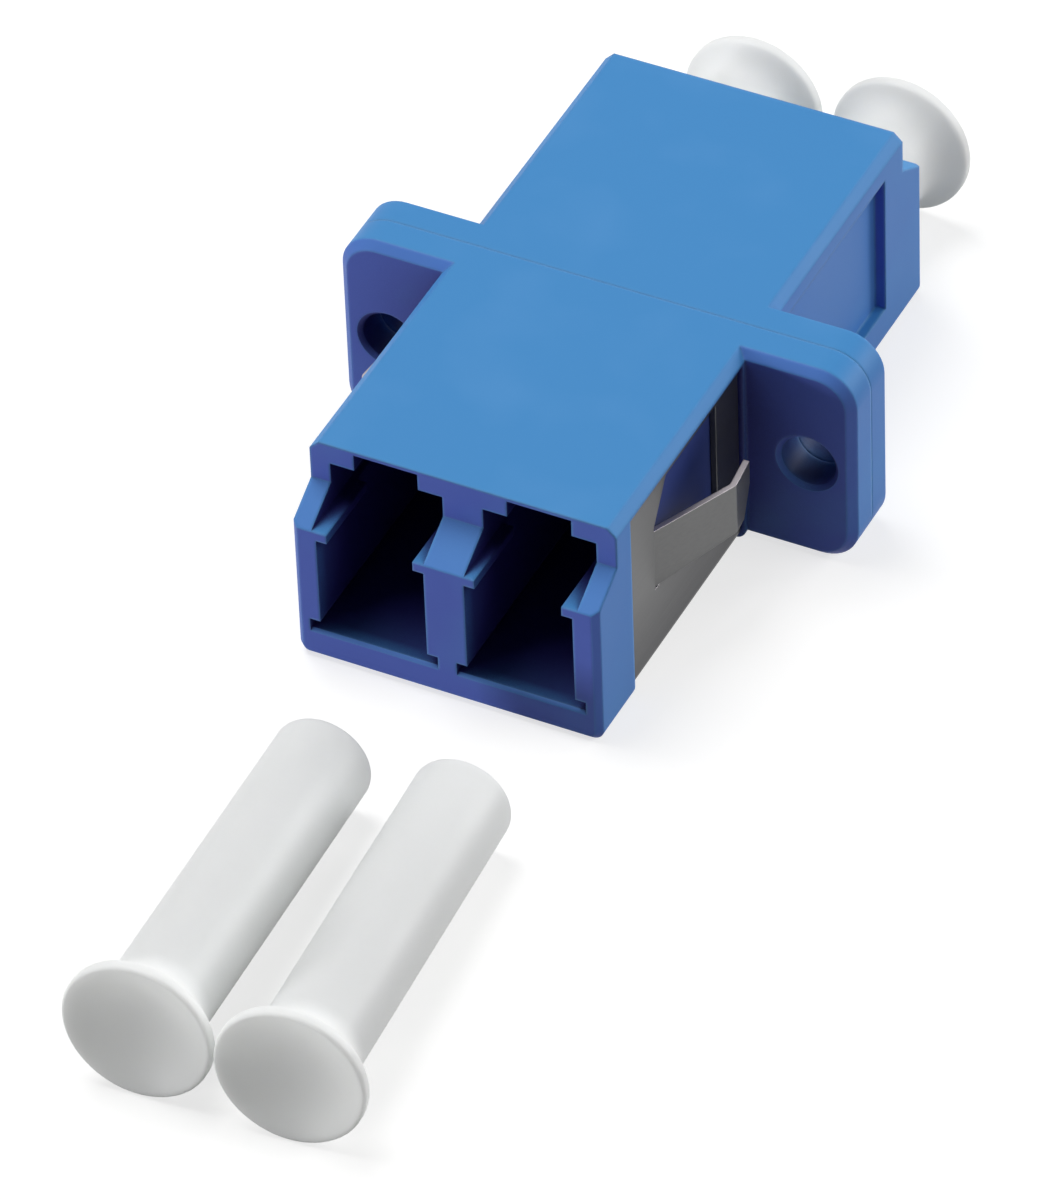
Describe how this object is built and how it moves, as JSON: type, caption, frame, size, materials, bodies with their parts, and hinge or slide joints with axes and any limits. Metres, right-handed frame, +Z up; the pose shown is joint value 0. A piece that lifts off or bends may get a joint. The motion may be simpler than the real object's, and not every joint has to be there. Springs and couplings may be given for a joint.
{
  "type": "fibre adapter",
  "caption": "Flanged duplex fibre adapter: stepped latch ports at both ends, ceramic sleeves inside, a folded spring clip round the body and push-in dust caps.",
  "frame": {"origin": "middle of the flange's front face at its bottom edge, on the resting face", "axes": "+X across the two ports, +Y from the open ports to the capped ports, +Z up from the resting face"},
  "size_m": [0.022, 0.0585, 0.0093],
  "materials": {
    "housing": "fine satin moulding",
    "clip": "rolled spring sheet",
    "sleeve": "polished ceramic",
    "cap": "soft translucent moulding"
  },
  "bodies": {
    "housing": {"front_housing": "housing", "rear_housing": "housing", "clip": "clip", "sleeve_left": "sleeve", "sleeve_right": "sleeve", "front_cap_left": "cap", "front_cap_right": "cap"},
    "rear_cap_left": {"rear_cap_left": "cap"},
    "rear_cap_right": {"rear_cap_right": "cap"}
  },
  "joints": [
    {"name": "rear_cap_left_pull", "type": "slide", "parent": "housing", "child": "rear_cap_left", "axis": [0, 1, 0], "range_m": [0, 0.014]},
    {"name": "rear_cap_right_pull", "type": "slide", "parent": "housing", "child": "rear_cap_right", "axis": [0, 1, 0], "range_m": [0, 0.014]}
  ]
}
